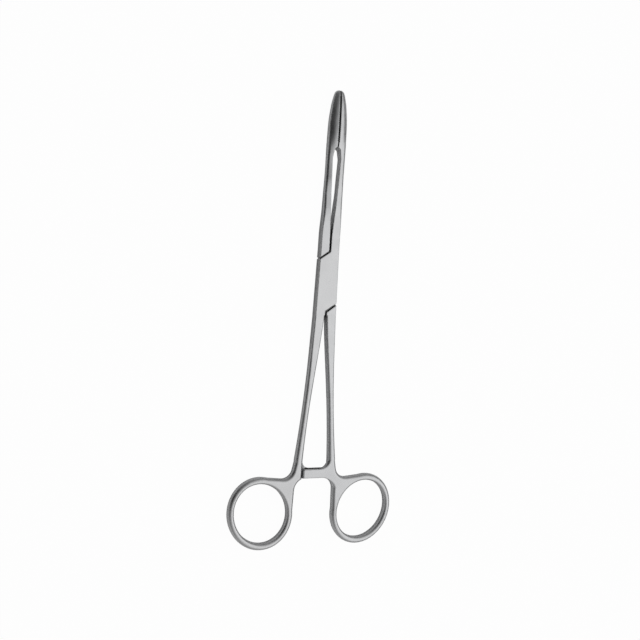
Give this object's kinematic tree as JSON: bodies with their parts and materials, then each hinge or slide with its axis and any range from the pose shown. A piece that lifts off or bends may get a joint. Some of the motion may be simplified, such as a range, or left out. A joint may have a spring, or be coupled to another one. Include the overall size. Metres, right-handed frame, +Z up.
{
  "type": "dressing forceps",
  "caption": "Long straight ring-handled forceps with a box lock, a ratchet between the shanks and blunt, serrated oval jaws.",
  "frame": {"origin": "where the pivot axis meets the lower face of the box lock, which is the middle of the pin's lower end", "axes": "+X across the forceps towards the ring of the tongue half, +Y along the forceps towards the jaw tips, +Z up out of the face that it lies on"},
  "size_m": [0.1004, 0.2599, 0.0074],
  "materials": {
    "steel": "satin"
  },
  "bodies": {
    "box": {"box_half": "steel", "lock_pin": "steel"},
    "tongue": {"tongue_half": "steel"}
  },
  "joints": [
    {"name": "lock_hinge", "type": "hinge", "parent": "box", "child": "tongue", "pos_m": [0, 0, 0.0026], "axis": [0, 0, 1], "range_deg": [0, 60]}
  ]
}
